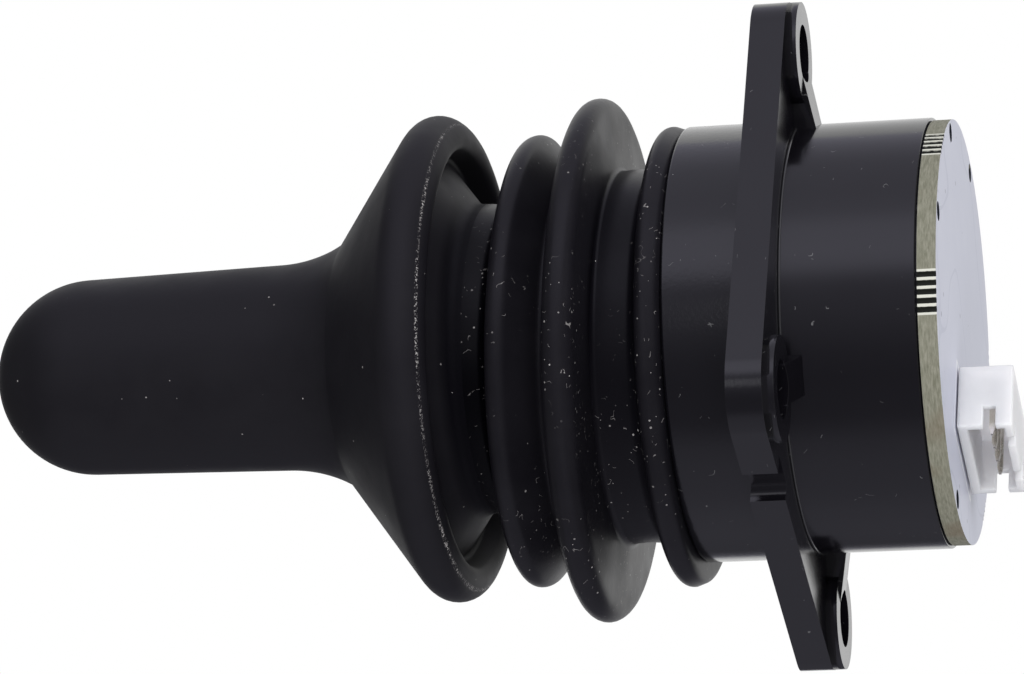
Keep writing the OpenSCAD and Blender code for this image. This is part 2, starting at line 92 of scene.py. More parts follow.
def outline(corners, first, last, steps=12):
    """Line through rounded corners (radius, height, roundness); hollow ones are negative."""
    points = []
    for i, (r, z, bend) in enumerate(corners):
        a = radians(first) if i == 0 else touch(corners[i - 1], corners[i])
        b = radians(last) if i == len(corners) - 1 else touch(corners[i], corners[i + 1])
        if abs(bend) < 1e-6:
            points.append((r, z))
            continue
        points += [(r + bend * cos(a + (b - a) * k / steps), z + bend * sin(a + (b - a) * k / steps))
                   for k in range(steps + 1)]
    return points


def inward(corners, wall):
    return [(r, z, bend - wall) for r, z, bend in corners]


def dense(points, step=0.5):
    """The same outline with no stretch longer than step, so that it bends smoothly."""
    out = [points[0]]
    for a, b in zip(points, points[1:]):
        n = max(1, int(hypot(b[0] - a[0], b[1] - a[1]) / step))
        out += [(a[0] + (b[0] - a[0]) * k / n, a[1] + (b[1] - a[1]) * k / n)
                for k in range(1, n + 1)]
    return out


# ---------------------------------------------------------------------------
# Shapes
# ---------------------------------------------------------------------------
def turn(bm, points, steps=TURN_STEPS, closed=True):
    """Turns an outline of (radius, height) about the stick's axis."""
    ring = [bm.verts.new((r, 0, z)) for r, z in points]
    edges = [bm.edges.new(pair) for pair in zip(ring, ring[1:])]
    if closed:
        edges.append(bm.edges.new((ring[-1], ring[0])))
    bmesh.ops.spin(bm, geom=ring + edges, cent=(0, 0, 0), axis=(0, 0, 1), dvec=(0, 0, 0),
                   angle=2 * pi, steps=steps, use_merge=True)


def block(bm, low, high):
    size = [b - a for a, b in zip(low, high)]
    middle = [(a + b) / 2 for a, b in zip(low, high)]
    made = bmesh.ops.create_cube(bm, size=1.0)
    bmesh.ops.scale(bm, vec=size, verts=made["verts"])
    bmesh.ops.translate(bm, vec=middle, verts=made["verts"])
    return made["verts"]


def drum(bm, r, low, high, x=0.0, y=0.0, steps=64):
    made = bmesh.ops.create_cone(bm, cap_ends=True, segments=steps, radius1=r, radius2=r,
                                 depth=high - low)
    bmesh.ops.translate(bm, vec=(x, y, (low + high) / 2), verts=made["verts"])
    return made["verts"]


def round_edges(bm, edges, r, segments):
    bmesh.ops.bevel(bm, geom=list(edges), offset=r, offset_type="OFFSET", segments=segments,
                    profile=0.5, affect="EDGES", clamp_overlap=True, material=-1)


def upright(edge):
    d = edge.verts[0].co - edge.verts[1].co
    return abs(d.z) > 1e-3 and hypot(d.x, d.y) < 1e-4


def sag(bm):
    """Lets the soft boot hang a little to one side, as the rubber does on its own weight."""
    for v in bm.verts:
        z = v.co.z
        if z <= SAG[0][0]:
            shift, tilt = SAG[0][1:]
        elif z >= SAG[-1][0]:
            shift, tilt = SAG[-1][1:]
        else:
            for (z0, s0, t0), (z1, s1, t1) in zip(SAG, SAG[1:]):
                if z0 <= z <= z1:
                    u = (z - z0) / (z1 - z0)
                    u = u * u * (3 - 2 * u)
                    shift, tilt = s0 + (s1 - s0) * u, t0 + (t1 - t0) * u
                    break
        lift = v.co.x * SAG_DOWN.x + v.co.y * SAG_DOWN.y
        v.co = v.co + SAG_DOWN * shift
        v.co.z = z + tilt * lift


def place(name, bm, material, sharp=32.0):
    bmesh.ops.remove_doubles(bm, verts=bm.verts, dist=1e-4)
    bmesh.ops.recalc_face_normals(bm, faces=bm.faces)
    bmesh.ops.scale(bm, vec=(MM, MM, MM), verts=bm.verts)
    mesh = bpy.data.meshes.new(name)
    bm.to_mesh(mesh)
    bm.free()
    mesh.polygons.foreach_set("use_smooth", [True] * len(mesh.polygons))
    mesh.set_sharp_from_angle(angle=radians(sharp))
    mesh.materials.append(material)
    piece = bpy.data.objects.new(name, mesh)
    bpy.context.scene.collection.objects.link(piece)
    return piece


def work(piece, tools, operation):
    """Joins the tools to a piece or takes them out of it, and deletes them."""
    for tool in tools:
        m = piece.modifiers.new("work", "BOOLEAN")
        m.operation = operation
        m.solver = "EXACT"
        m.object = tool
    bpy.context.view_layer.update()
    graph = bpy.context.evaluated_depsgraph_get()
    mesh = bpy.data.meshes.new_from_object(piece.evaluated_get(graph))
    old = piece.data
    piece.modifiers.clear()
    piece.data = mesh
    bpy.data.meshes.remove(old)
    for tool in tools:
        bpy.data.objects.remove(tool)
    mesh.name = piece.name
    return piece


def soften(piece, width, finish, segments=2, angle=30.0):
    """Rounds the outer edges of a moulding and gives the rounding its own finish."""
    bm = bmesh.new()
    bm.from_mesh(piece.data)
    bmesh.ops.remove_doubles(bm, verts=bm.verts, dist=1e-6)
    bmesh.ops.dissolve_limit(bm, angle_limit=radians(0.5), verts=bm.verts, edges=bm.edges)
    weight = bm.edges.layers.float.new("bevel_weight_edge")
    for e in bm.edges:
        if len(e.link_faces) == 2 and e.is_convex and e.calc_face_angle() > radians(angle):
            e[weight] = 1.0
    bm.to_mesh(piece.data)
    bm.free()
    piece.data.materials.append(finish)
    m = piece.modifiers.new("edge", "BEVEL")
    m.width = width * MM
    m.segments = segments
    m.limit_method = "WEIGHT"
    m.material = 1
    n = piece.modifiers.new("shade", "WEIGHTED_NORMAL")
    n.keep_sharp = True
    n.weight = 80
    return piece


# ---------------------------------------------------------------------------
# Materials
# ---------------------------------------------------------------------------
def shader_group(name, inputs, outputs):
    g = bpy.data.node_groups.new(name, "ShaderNodeTree")
    for label, kind, value in inputs:
        s = g.interface.new_socket(name=label, in_out="INPUT", socket_type=kind)
        if value is not None:
            s.default_value = value
    for label, kind in outputs:
        g.interface.new_socket(name=label, in_out="OUTPUT", socket_type=kind)
    return g, g.nodes.new("NodeGroupInput"), g.nodes.new("NodeGroupOutput")


def maths(nodes, links, op, a, b=None, clamp=False):
    n = nodes.new("ShaderNodeMath")
    n.operation = op
    n.use_clamp = clamp
    for i, v in enumerate((a, b)):
        if v is None:
            continue
        if isinstance(v, (int, float)):
            n.inputs[i].default_value = v
        else:
            links.new(v, n.inputs[i])
    return n.outputs[0]


def dust_group():
    """White specks that cling to rubber and plastic."""
    g, gi, go = shader_group(
        "dust specks",
        [("Vector", "NodeSocketVector", None), ("Scale", "NodeSocketFloat", 900.0),
         ("Amount", "NodeSocketFloat", 0.1), ("Size", "NodeSocketFloat", 0.12)],
        [("Mask", "NodeSocketFloat")])
    n, l = g.nodes, g.links
    v = n.new("ShaderNodeTexVoronoi")
    v.feature = "F1"
    l.new(gi.outputs["Vector"], v.inputs["Vector"])
    l.new(gi.outputs["Scale"], v.inputs["Scale"])
    pick = n.new("ShaderNodeSeparateColor")
    l.new(v.outputs["Color"], pick.inputs[0])
    chosen = maths(n, l, "LESS_THAN", pick.outputs[0], gi.outputs["Amount"])
    size = maths(n, l, "MULTIPLY", pick.outputs[1], gi.outputs["Size"])
    near = maths(n, l, "LESS_THAN", v.outputs["Distance"], size)
    faint = spread(n, l, pick.outputs[2], 0.0, 1.0, 0.25, 1.0)
    seen = maths(n, l, "MULTIPLY", maths(n, l, "MULTIPLY", chosen, near), faint)
    l.new(seen, go.inputs["Mask"])
    return g


def lint_group():
    """Short curly fibres: pieces of the level lines of a noise."""
    g, gi, go = shader_group(
        "lint fibres",
        [("Vector", "NodeSocketVector", None), ("Scale", "NodeSocketFloat", 400.0),
         ("Width", "NodeSocketFloat", 0.01), ("Amount", "NodeSocketFloat", 0.6)],
        [("Mask", "NodeSocketFloat")])
    n, l = g.nodes, g.links
    line = n.new("ShaderNodeTexNoise")
    line.inputs["Detail"].default_value = 1.0
    l.new(gi.outputs["Vector"], line.inputs["Vector"])
    l.new(gi.outputs["Scale"], line.inputs["Scale"])
    off = maths(n, l, "ABSOLUTE", maths(n, l, "SUBTRACT", line.outputs["Fac"], 0.5))
    thin = maths(n, l, "LESS_THAN", off, gi.outputs["Width"])
    where = n.new("ShaderNodeTexNoise")
    where.inputs["Detail"].default_value = 1.0
    l.new(gi.outputs["Vector"], where.inputs["Vector"])
    l.new(maths(n, l, "MULTIPLY", gi.outputs["Scale"], 1.37), where.inputs["Scale"])
    here = maths(n, l, "GREATER_THAN", where.outputs["Fac"], gi.outputs["Amount"])
    l.new(maths(n, l, "MULTIPLY", thin, here), go.inputs["Mask"])
    return g


def new_material(name):
    m = bpy.data.materials.new(name)
    m.use_nodes = True
    n = m.node_tree.nodes
    n.clear()
    out = n.new("ShaderNodeOutputMaterial")
    bsdf = n.new("ShaderNodeBsdfPrincipled")
    m.node_tree.links.new(bsdf.outputs[0], out.inputs[0])
    return m, n, m.node_tree.links, bsdf


def object_coords(n):
    return n.new("ShaderNodeTexCoord").outputs["Object"]


def noise(n, l, vector, scale, detail=3.0, rough=0.5):
    t = n.new("ShaderNodeTexNoise")
    t.inputs["Scale"].default_value = scale
    t.inputs["Detail"].default_value = detail
    t.inputs["Roughness"].default_value = rough
    l.new(vector, t.inputs["Vector"])
    return t.outputs["Fac"]


def spread(n, l, value, a, b, c, d):
    r = n.new("ShaderNodeMapRange")
    for i, v in enumerate((a, b, c, d)):
        r.inputs[1 + i].default_value = v
    l.new(value, r.inputs[0])
    return r.outputs[0]


def mix(n, l, fac, a, b):
    m = n.new("ShaderNodeMix")
    m.data_type = "RGBA"
    if isinstance(fac, (int, float)):
        m.inputs[0].default_value = fac
    else:
        l.new(fac, m.inputs[0])
    for i, v in ((6, a), (7, b)):
        if isinstance(v, tuple):
            m.inputs[i].default_value = (*v, 1.0)
        else:
            l.new(v, m.inputs[i])
    return m.outputs[2]


def bump(n, l, height, distance, strength=1.0, normal=None):
    b = n.new("ShaderNodeBump")
    b.inputs["Strength"].default_value = strength
    b.inputs["Distance"].default_value = distance
    l.new(height, b.inputs["Height"])
    if normal is not None:
        l.new(normal, b.inputs["Normal"])
    return b.outputs[0]


def dust(n, l, vector, scale, amount, size):
    d = n.new("ShaderNodeGroup")
    d.node_tree = DUST
    l.new(vector, d.inputs["Vector"])
    d.inputs["Scale"].default_value = scale
    d.inputs["Amount"].default_value = amount
    d.inputs["Size"].default_value = size
    return d.outputs["Mask"]


DUST = dust_group()
LINT = lint_group()


def lint(n, l, vector, scale, width, amount):
    d = n.new("ShaderNodeGroup")
    d.node_tree = LINT
    l.new(vector, d.inputs["Vector"])
    d.inputs["Scale"].default_value = scale
    d.inputs["Width"].default_value = width
    d.inputs["Amount"].default_value = amount
    return d.outputs["Mask"]


def ring_mask(n, l, vector, r_low, z_low, z_high, feather=0.15):
    """White where the distance from the axis is over r_low and the height between two levels."""
    apart = n.new("ShaderNodeSeparateXYZ")
    l.new(vector, apart.inputs[0])
    x2 = maths(n, l, "POWER", apart.outputs["X"], 2.0)
    y2 = maths(n, l, "POWER", apart.outputs["Y"], 2.0)
    r = maths(n, l, "SQRT", maths(n, l, "ADD", x2, y2))
    f = feather * MM
    out = spread(n, l, r, r_low * MM - f, r_low * MM + f, 0.0, 1.0)
    low = spread(n, l, apart.outputs["Z"], z_low * MM - f, z_low * MM + f, 0.0, 1.0)
    high = spread(n, l, apart.outputs["Z"], z_high * MM - f, z_high * MM + f, 1.0, 0.0)
    return maths(n, l, "MULTIPLY", out, maths(n, l, "MULTIPLY", low, high))


def moulded_rubber(name, painted_shade_r, painted_shade_colour, grip=False, painted_flank_reflection=False):
    """Black rubber: greyer where it is handled, with painted shade in its hollows and, where asked, a
    painted reflection on the lower boot's flank.
    """
    m, n, l, s = new_material(name)
    at = object_coords(n)
    patch = noise(n, l, at, 160.0, 4.0, 0.6)
    cloudy = spread(n, l, patch, 0.35, 0.7, 0.0, 1.0)
    # hollow is a mask of painted shade: the grip darker below height 27 (its throat and the underside of
    # its skirt), the boot darker inside the given radius (its necks, valleys and throat)
    if grip:
        bloom = mix(n, l, cloudy, (0.0098, 0.0092, 0.0118), (0.0122, 0.0116, 0.0145))
        hollow = ring_mask(n, l, at, 0.0, -10.0, 27.0, 0.4)
    else:
        bloom = mix(n, l, cloudy, (0.0070, 0.0065, 0.0088), (0.0100, 0.0094, 0.0122))
        hollow = maths(n, l, "SUBTRACT", 1.0, ring_mask(n, l, at, painted_shade_r, -10.0, 60.0, 0.5))
    base = mix(n, l, hollow, bloom, painted_shade_colour)
    # painted reflection: a lighter patch on the lower boot's flank, on the part further from the camera,
    # with a dark line drawn along its edge
    if painted_flank_reflection:
        spot = n.new("ShaderNodeSeparateXYZ")
        l.new(at, spot.inputs[0])
        near = maths(n, l, "ADD", maths(n, l, "MULTIPLY", spot.outputs["X"], 0.8072),
                     maths(n, l, "MULTIPLY", spot.outputs["Y"], -0.5903))
        near = maths(n, l, "ADD", near, maths(n, l, "MULTIPLY", noise(n, l, at, 240.0), 0.0008))
        flank = ring_mask(n, l, at, 16.7, 10.0, 14.2, 0.1)
        painted_reflection = maths(n, l, "MULTIPLY", flank, spread(n, l, near, 0.0026, 0.0028, 1.0, 0.0))
        patch_edge_line = maths(n, l, "MULTIPLY", flank,
                       maths(n, l, "LESS_THAN", maths(n, l, "ABSOLUTE",
                             maths(n, l, "SUBTRACT", near, 0.0028)), 0.00016))
        base = mix(n, l, painted_reflection, base, (0.0085, 0.0070, 0.0075))
        base = mix(n, l, patch_edge_line, base, (0.0030, 0.0020, 0.0020))
    specks = dust(n, l, at, 900.0, 0.3, 0.085)
    if grip:
        grain = spread(n, l, noise(n, l, at, 5200.0, 2.0, 0.7), 0.53, 0.6, 0.0, 1.0)
        worn = spread(n, l, noise(n, l, at, 190.0, 2.0), 0.4, 0.62, 0.25, 1.0)
        seam = maths(n, l, "MULTIPLY", ring_mask(n, l, at, 20.2, 27.54, 27.7, 0.05),
                     maths(n, l, "MULTIPLY", grain, worn))
        specks = maths(n, l, "MAXIMUM", specks, seam)
    else:
        cloud = spread(n, l, noise(n, l, at, 90.0, 2.0), 0.44, 0.6, 0.0, 1.0)
        fine = maths(n, l, "MULTIPLY", dust(n, l, at, 1900.0, 0.4, 0.2), cloud)
        curls = maths(n, l, "MULTIPLY", lint(n, l, at, 900.0, 0.008, 0.63), cloud)
        specks = maths(n, l, "MAXIMUM", specks,
                       maths(n, l, "MAXIMUM", fine, maths(n, l, "MULTIPLY", curls, 0.4)))
    l.new(mix(n, l, specks, base, (0.42, 0.4, 0.4)), s.inputs["Base Color"])
    l.new(spread(n, l, patch, 0.3, 0.7, 0.5 if grip else 0.34, 0.62 if grip else 0.44),
          s.inputs["Roughness"])
    s.inputs["Specular IOR Level"].default_value = 0.17
    grain = noise(n, l, at, 2600.0, 2.0)
    l.new(bump(n, l, grain, 0.00002, 0.3), s.inputs["Normal"])
    return m


def moulded_plastic(name, dark, light, rough, gloss, peel_mm=0.011):
    m, n, l, s = new_material(name)
    at = object_coords(n)
    cloud = noise(n, l, at, 90.0, 3.0)
    base = mix(n, l, cloud, dark, light)
    specks = dust(n, l, at, 760.0, 0.25, 0.075)
    curls = maths(n, l, "MULTIPLY", lint(n, l, at, 700.0, 0.006, 0.70), 0.25)
    specks = maths(n, l, "MAXIMUM", specks, curls)
    l.new(mix(n, l, specks, base, (0.34, 0.34, 0.35)), s.inputs["Base Color"])
    l.new(spread(n, l, noise(n, l, at, 240.0, 4.0), 0.3, 0.7, rough * 0.85, rough * 1.15),
          s.inputs["Roughness"])
    s.inputs["Specular IOR Level"].default_value = gloss
    collar = ring_mask(n, l, at, 5.0, 0.1, 40.0)
    peel = maths(n, l, "MULTIPLY", noise(n, l, at, 2600.0, 3.0, 0.6),
                 spread(n, l, collar, 0.0, 1.0, 0.22, 1.0))
    scored = n.new("ShaderNodeMapping")
    scored.inputs["Rotation"].default_value = (0.5, 0.35, radians(-45))
    scored.inputs["Scale"].default_value = (1.0, 0.12, 1.0)
    l.new(at, scored.inputs["Vector"])
    scratches = maths(n, l, "MULTIPLY", noise(n, l, scored.outputs[0], 5000.0, 2.0, 0.7),
                      ring_mask(n, l, at, 25.2, -3.0, 0.5, 0.6))
    relief = maths(n, l, "ADD", peel, maths(n, l, "MULTIPLY", scratches, 0.9))
    l.new(bump(n, l, relief, peel_mm * MM, 0.8), s.inputs["Normal"])
    return m


def plain_finish(name, dark, light, rough, metal=0.0, scale=400.0, bump_mm=0.004):
    m, n, l, s = new_material(name)
    at = object_coords(n)
    patch = noise(n, l, at, scale, 4.0, 0.6)
    l.new(mix(n, l, patch, dark, light), s.inputs["Base Color"])
    l.new(spread(n, l, patch, 0.3, 0.7, rough * 0.85, rough * 1.15), s.inputs["Roughness"])
    s.inputs["Metallic"].default_value = metal
    l.new(bump(n, l, noise(n, l, at, scale * 5, 2.0), bump_mm * MM, 0.5), s.inputs["Normal"])
    return m


def board_laminate():
    """White solder mask on the faces, bare glass fibre on the rim, dark inside the holes."""
    m, n, l, s = new_material("board laminate and mask")
    at = object_coords(n)
    place_at = n.new("ShaderNodeSeparateXYZ")
    l.new(at, place_at.inputs[0])
    x, y = place_at.outputs["X"], place_at.outputs["Y"]
    face = n.new("ShaderNodeSeparateXYZ")
    l.new(n.new("ShaderNodeNewGeometry").outputs["True Normal"], face.inputs[0])
    flat = maths(n, l, "GREATER_THAN", maths(n, l, "ABSOLUTE", face.outputs["Z"]), 0.5)

    # rim
    fibre = n.new("ShaderNodeMapping")
    fibre.inputs["Scale"].default_value = (1.0, 1.0, 6.0)
    l.new(at, fibre.inputs["Vector"])
    weave = noise(n, l, fibre.outputs[0], 1100.0, 5.0, 0.7)
    edge = mix(n, l, spread(n, l, weave, 0.35, 0.65, 0.0, 1.0), (0.150, 0.150, 0.110),
               (0.270, 0.265, 0.215))
    toasted = spread(n, l, noise(n, l, at, 170.0, 2.0), 0.55, 0.72, 0.0, 0.6)
    edge = mix(n, l, toasted, edge, (0.16, 0.115, 0.075))
    turn_at = maths(n, l, "ARCTAN2", maths(n, l, "ABSOLUTE", y), maths(n, l, "ABSOLUTE", x))
    step = maths(n, l, "DIVIDE", maths(n, l, "SUBTRACT", turn_at, radians(TAB_ANGLE)), TAB_PITCH)
    tab = maths(n, l, "LESS_THAN", maths(n, l, "ABSOLUTE", step), 2.6)
    jagged = maths(n, l, "MULTIPLY", noise(n, l, at, 2600.0, 3.0), 0.5)
    wave = maths(n, l, "ADD", maths(n, l, "COSINE", maths(n, l, "MULTIPLY", step, 2 * pi)),
                 maths(n, l, "SUBTRACT", jagged, 0.25))
    torn = mix(n, l, spread(n, l, wave, -0.55, -0.35, 1.0, 0.0), (0.010, 0.011, 0.008),
               (0.62, 0.62, 0.56))
    edge = mix(n, l, tab, edge, torn)
    hole = maths(n, l, "SUBTRACT", 1.0, ring_mask(n, l, at, 18.17, -30.0, 0.0, 0.01))
    edge = mix(n, l, hole, edge, (0.012, 0.014, 0.022))

    # face
    mask = mix(n, l, noise(n, l, at, 220.0, 4.0), (0.475, 0.49, 0.59), (0.53, 0.545, 0.64))
    weft = noise(n, l, at, 60.0, 1.0)
    track = maths(n, l, "LESS_THAN", maths(n, l, "ABSOLUTE", maths(n, l, "SUBTRACT", weft, 0.5)),
                  0.006)
    mask = mix(n, l, maths(n, l, "MULTIPLY", track, 0.3), mask, (0.3, 0.32, 0.42))
    vias = dust(n, l, at, 400.0, 0.8, 0.1)
    mask = mix(n, l, vias, mask, (0.10, 0.10, 0.15))
    apart_x = maths(n, l, "SUBTRACT", maths(n, l, "ABSOLUTE",
                    maths(n, l, "SUBTRACT", x, HEADER_X * MM)), HEADER_W / 2 * MM)
    apart_y = maths(n, l, "SUBTRACT", maths(n, l, "ABSOLUTE",
                    maths(n, l, "SUBTRACT", y, (HEADER_Y + HEADER_D / 2) * MM)),
                    HEADER_D / 2 * MM)
    apart = maths(n, l, "MAXIMUM", apart_x, apart_y)
    ink = maths(n, l, "LESS_THAN", maths(n, l, "ABSOLUTE",
                maths(n, l, "SUBTRACT", apart, 0.4 * MM)), 0.09 * MM)
    face_colour = mix(n, l, ink, mask, (0.85, 0.85, 0.86))
    l.new(mix(n, l, flat, edge, face_colour), s.inputs["Base Color"])
    l.new(spread(n, l, flat, 0.0, 1.0, 0.75, 0.42), s.inputs["Roughness"])
    l.new(bump(n, l, weave, 0.00003, 0.3), s.inputs["Normal"])
    return m


def header_nylon():
    m, n, l, s = new_material("natural header nylon")
    at = object_coords(n)
    patch = noise(n, l, at, 500.0, 3.0)
    l.new(mix(n, l, patch, (0.70, 0.69, 0.72), (0.76, 0.75, 0.78)), s.inputs["Base Color"])
    l.new(spread(n, l, patch, 0.3, 0.7, 0.36, 0.48), s.inputs["Roughness"])
    s.inputs["Subsurface Weight"].default_value = 1.0
    s.inputs["Subsurface Radius"].default_value = (1.0, 0.95, 0.92)
    s.inputs["Subsurface Scale"].default_value = 0.0035
    l.new(bump(n, l, noise(n, l, at, 2500.0, 2.0), 0.00001, 0.4), s.inputs["Normal"])
    return m


# The colour given to each rubber is the painted shade of its hollows, inside the given radius on the
# boots; the lower boot also gets a painted reflection on its flank.
GRIP_RUBBER = moulded_rubber("grip rubber", 0.0, (0.0020, 0.0018, 0.0030), grip=True)
LOW_RUBBER = moulded_rubber("lower boot rubber", 17.0, (0.0035, 0.0032, 0.0048), painted_flank_reflection=True)
HIGH_RUBBER = moulded_rubber("upper boot rubber", 16.2, (0.0008, 0.0007, 0.0014))
PLASTIC = moulded_plastic("moulded black nylon", (0.0030, 0.0027, 0.0040),
                          (0.0050, 0.0046, 0.0064), 0.15, 0.5)
# A lighter, glossier copy of the moulded plastic for rounded edges: partly wear, partly a painted glint
# along the edges.
EDGE_GLINT = moulded_plastic("moulded edge wear and painted glint", (0.010, 0.010, 0.011), (0.05, 0.05, 0.053),
                             0.2, 0.8)
LAMINATE = board_laminate()
HEADER = header_nylon()
TIN = plain_finish("tinned pins", (0.52, 0.5, 0.45), (0.7, 0.68, 0.62), 0.26, 1.0, 800.0)
STEEL = plain_finish("ground steel", (0.5, 0.5, 0.52), (0.66, 0.66, 0.68), 0.3, 1.0, 600.0)
BLACK_STEEL = plain_finish("black oxide steel", (0.02, 0.02, 0.023), (0.05, 0.05, 0.055), 0.45, 0.6)
ACETAL = plain_finish("natural acetal", (0.72, 0.7, 0.65), (0.8, 0.79, 0.74), 0.42)
ZINC = plain_finish("die-cast zinc", (0.4, 0.39, 0.37), (0.58, 0.57, 0.54), 0.42, 1.0)
BRONZE = plain_finish("sintered bronze", (0.42, 0.27, 0.11), (0.58, 0.4, 0.18), 0.5, 1.0, 1500.0)
CORE = plain_finish("glass-filled nylon", (0.04, 0.04, 0.044), (0.075, 0.075, 0.08), 0.55)
CHIP = plain_finish("moulded epoxy", (0.018, 0.018, 0.02), (0.04, 0.04, 0.042), 0.6)
CERAMIC = plain_finish("chip ceramic", (0.3, 0.22, 0.13), (0.42, 0.33, 0.21), 0.5)
NICKEL = plain_finish("nickel plate", (0.5, 0.48, 0.44), (0.64, 0.61, 0.56), 0.2, 1.0, 900.0)


# ---------------------------------------------------------------------------
# Rubber grip, skirt and boot
# ---------------------------------------------------------------------------
WALL = 0.9
LOW_BOOT = [(19.0, LIP_TOP, 0.0), (17.4, 10.6, -1.0), (16.9, 13.1, -0.5), (21.7, 15.35, 1.35),
            (17.4, SPLIT_Z, -0.5)]
HIGH_BOOT = [(17.4, SPLIT_Z, -0.5), (18.85, 21.1, 1.1), (14.6, 24.1, -0.9),
             (13.7, THROAT_TOP, 0.0)]


def make_lip():
    bm = bmesh.new()
    points = ([(17.45, 7.0)] + arc((19.25, 7.75), 0.75, -90, -15, 6)
              + arc((19.3, 8.3), 0.9, -10, 70, 8) + [(19.0, LIP_TOP), (17.7, LIP_TOP)]
              + [(15.6, LIP_TOP), (15.6, 8.25), (17.45, 8.25)])
    turn(bm, dense(points, 0.6))
    sag(bm)
    piece = place("boot_lip_rubber", bm, LOW_RUBBER)
    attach(piece, "housing")
    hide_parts("boot_lip")


def make_bellows(name, corners, rubber, node):
    bm = bmesh.new()
    outer = outline(corners, 0, 0)
    inner = outline(inward(corners, WALL), 0, 0)
    turn(bm, dense(outer, 0.4) + dense(inner[::-1], 0.4))
    sag(bm)
    piece = place(name, bm, rubber)
    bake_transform(piece)
    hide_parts(node)


def make_grip():
    bm = bmesh.new()
    rim_x, rim_z, rim_r = 19.4, 29.4, 2.2
    rim = outline([(15.2, THROAT_TOP + 0.4, -1.5), (rim_x - 1.7, rim_z - 0.4, -0.4),
                   (rim_x, rim_z - 1.3, 0.95), (rim_x, rim_z, rim_r), (10.95, 38.3, 0.0)], 0, 40)
    waist = arc((22.1, 44.8), 12.9, 205, 181.4, 16)
    tip = arc((0.0, 62.4), 8.8, 1.4, 90, 28)
    inside = [(0.0, 59.0), (5.8, 58.0), (5.8, 30.4), (9.6, 30.4), (9.6, 26.4), (12.8, 26.4),
              (12.8, THROAT_TOP), (13.7, THROAT_TOP)]
    tip[-1] = (0.0, tip[-1][1])
    turn(bm, inside + dense(rim + waist + tip, 0.6), closed=False)
    sag(bm)
    piece = place("finger_grip_rubber", bm, GRIP_RUBBER)
    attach(piece, "stick")
    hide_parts("grip")


make_lip()
make_bellows("lower_boot_rubber", LOW_BOOT, LOW_RUBBER, "lower_bellows")
make_bellows("upper_boot_rubber", HIGH_BOOT, HIGH_RUBBER, "upper_bellows")
make_grip()


# ---------------------------------------------------------------------------
# Moulded housing
# ---------------------------------------------------------------------------
def make_body_shell():
    bm = bmesh.new()
    turn(bm, [(DECK_HOLE_R, DECK_Z - DECK_T), (CHAMBER_R, DECK_Z - DECK_T),
              (CHAMBER_R, BOARD_TOP), (17.9, BOARD_TOP), (17.9, BOARD_TOP + 0.14)]
         + arc((LOWER_R - 0.1, BOARD_TOP + 0.24), 0.1, -90, 0, 4)
         + [(LOWER_R, -FLANGE_T - 0.15)] + arc((LOWER_R + 0.15, -FLANGE_T - 0.15), 0.15, 180, 90, 4)
         + arc((UPPER_R + 0.12, 0.12), 0.12, 270, 180, 4)
         + arc((UPPER_R - 0.3, UPPER_H - 0.3), 0.3, 0, 90, 4)
         + [(SPIGOT_R, UPPER_H), (SPIGOT_R, SPIGOT_Z - 0.2), (SPIGOT_R - 0.2, SPIGOT_Z),
            (WELL_R, SPIGOT_Z), (WELL_R, DECK_Z), (DECK_HOLE_R, DECK_Z)])
    piece = place("body_shell_moulding", bm, PLASTIC)
    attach(piece, "housing")
    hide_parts("housing")
    # A thin bead at the flange's back, in the lighter edge finish, which paints a glint line along it.
    bm = bmesh.new()
    turn(bm, arc((LOWER_R + 0.02, -FLANGE_T - 0.1), 0.1, 0, 345, 15))
    seam = place("mould_seam_line", bm, EDGE_GLINT, 60)
    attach(seam, "housing")
    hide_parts("housing")


def make_flange():
    """Flange with its screw bosses and webs, joined into one moulding."""
    half = HOLE_XY + CORNER_R
    bm = bmesh.new()
    block(bm, (-half, -half, -FLANGE_T), (half, half, 0))
    round_edges(bm, [e for e in bm.edges if upright(e)], CORNER_R, 24)
    plate = place("flange_moulding", bm, PLASTIC)
    corners = [(x * HOLE_XY, y * HOLE_XY) for x in (-1, 1) for y in (-1, 1)]
    bosses = bmesh.new()
    for x, y in corners:
        drum(bosses, BOSS_R, -FLANGE_T - BOSS_H, -FLANGE_T + 0.3, x, y, 96)
    webs = bmesh.new()
    for k in range(4):
        verts = block(webs, (17.8, -1.7, -FLANGE_T - 2.0), (23.5, 1.7, -FLANGE_T + 0.1))
        for v in verts:
            if v.co.x > 20 and v.co.z < -4:
                v.co.z = -FLANGE_T - 0.95
        bmesh.ops.rotate(webs, cent=(0, 0, 0), verts=verts,
                         matrix=Matrix.Rotation(radians(45 + 90 * k), 3, "Z"))
    work(plate, [place("boss tool", bosses, PLASTIC), place("web tool", webs, PLASTIC)], "UNION")
    holes = bmesh.new()
    drum(holes, UPPER_R - 1.0, -FLANGE_T - 4, 1, steps=160)
    for x, y in corners:
        drum(holes, HOLE_R, -FLANGE_T - 3, 1, x, y, 72)
    side = bmesh.new()
    block(side, (NOTCH_X - NOTCH_W / 2, -half - 1, -FLANGE_T - 1),
          (NOTCH_X + NOTCH_W / 2, -half + NOTCH_D, 1))
    work(plate, [place("hole tool", holes, PLASTIC), place("notch tool", side, PLASTIC)],
         "DIFFERENCE")
    # The rounded edges take the lighter edge finish: a painted glint that is partly wear.
    soften(plate, 0.09, EDGE_GLINT)
    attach(plate, "housing")
    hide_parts("housing")


def make_pegs():
    bm = bmesh.new()
    for a in (0, 45, 90, 180, 270):
        drum(bm, PEG_R, BOARD_BOTTOM + 0.3, BOARD_TOP + 0.4, PEG_RING * cos(radians(a)),
             PEG_RING * sin(radians(a)), 32)
    pegs = place("board_peg_mouldings", bm, PLASTIC)
    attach(pegs, "housing")
    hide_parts("housing")


